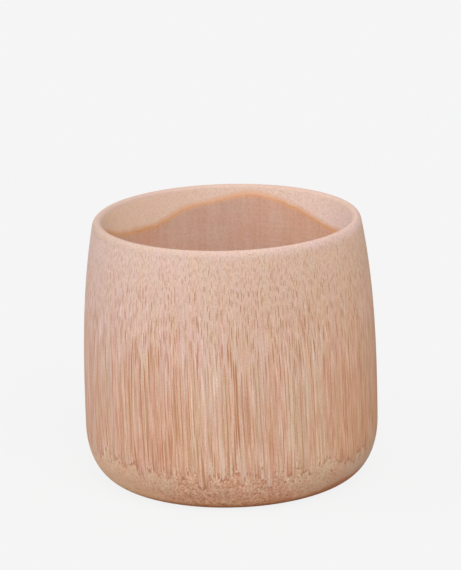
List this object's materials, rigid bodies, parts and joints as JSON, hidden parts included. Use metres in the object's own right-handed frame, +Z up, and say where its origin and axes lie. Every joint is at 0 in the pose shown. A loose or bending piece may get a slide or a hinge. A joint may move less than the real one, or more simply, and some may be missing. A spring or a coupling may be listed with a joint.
{
  "type": "bamboo cup",
  "caption": "Round tumbler cup turned from a section of bamboo culm, with the culm's node as its bottom; holds a drink, pens or brushes.",
  "frame": {"origin": "centre of the foot, on the surface the cup stands on", "axes": "+Z up, along the cup's turning axis; +Y away from the viewer of the picture, +X to their right"},
  "size_m": [0.089, 0.089, 0.08],
  "materials": {
    "culm_wood": "raw bamboo, turned and fine sanded, matt, dark fibre bundles cut into dashes at the rim and long streaks at the belly",
    "culm_skin": "natural inner skin of the culm, matt, faint upright grain, amber at its cut edge",
    "node_wood": "raw bamboo of the node, turned and sanded, matt, mottled with dark specks",
    "diaphragm_wood": "raw cross wall of the culm, matt, tangled fibres"
  },
  "bodies": {
    "root": {"culm_wall": "culm_wood", "inner_skin": "culm_skin", "node_ring": "node_wood", "diaphragm": "diaphragm_wood"}
  },
  "joints": []
}
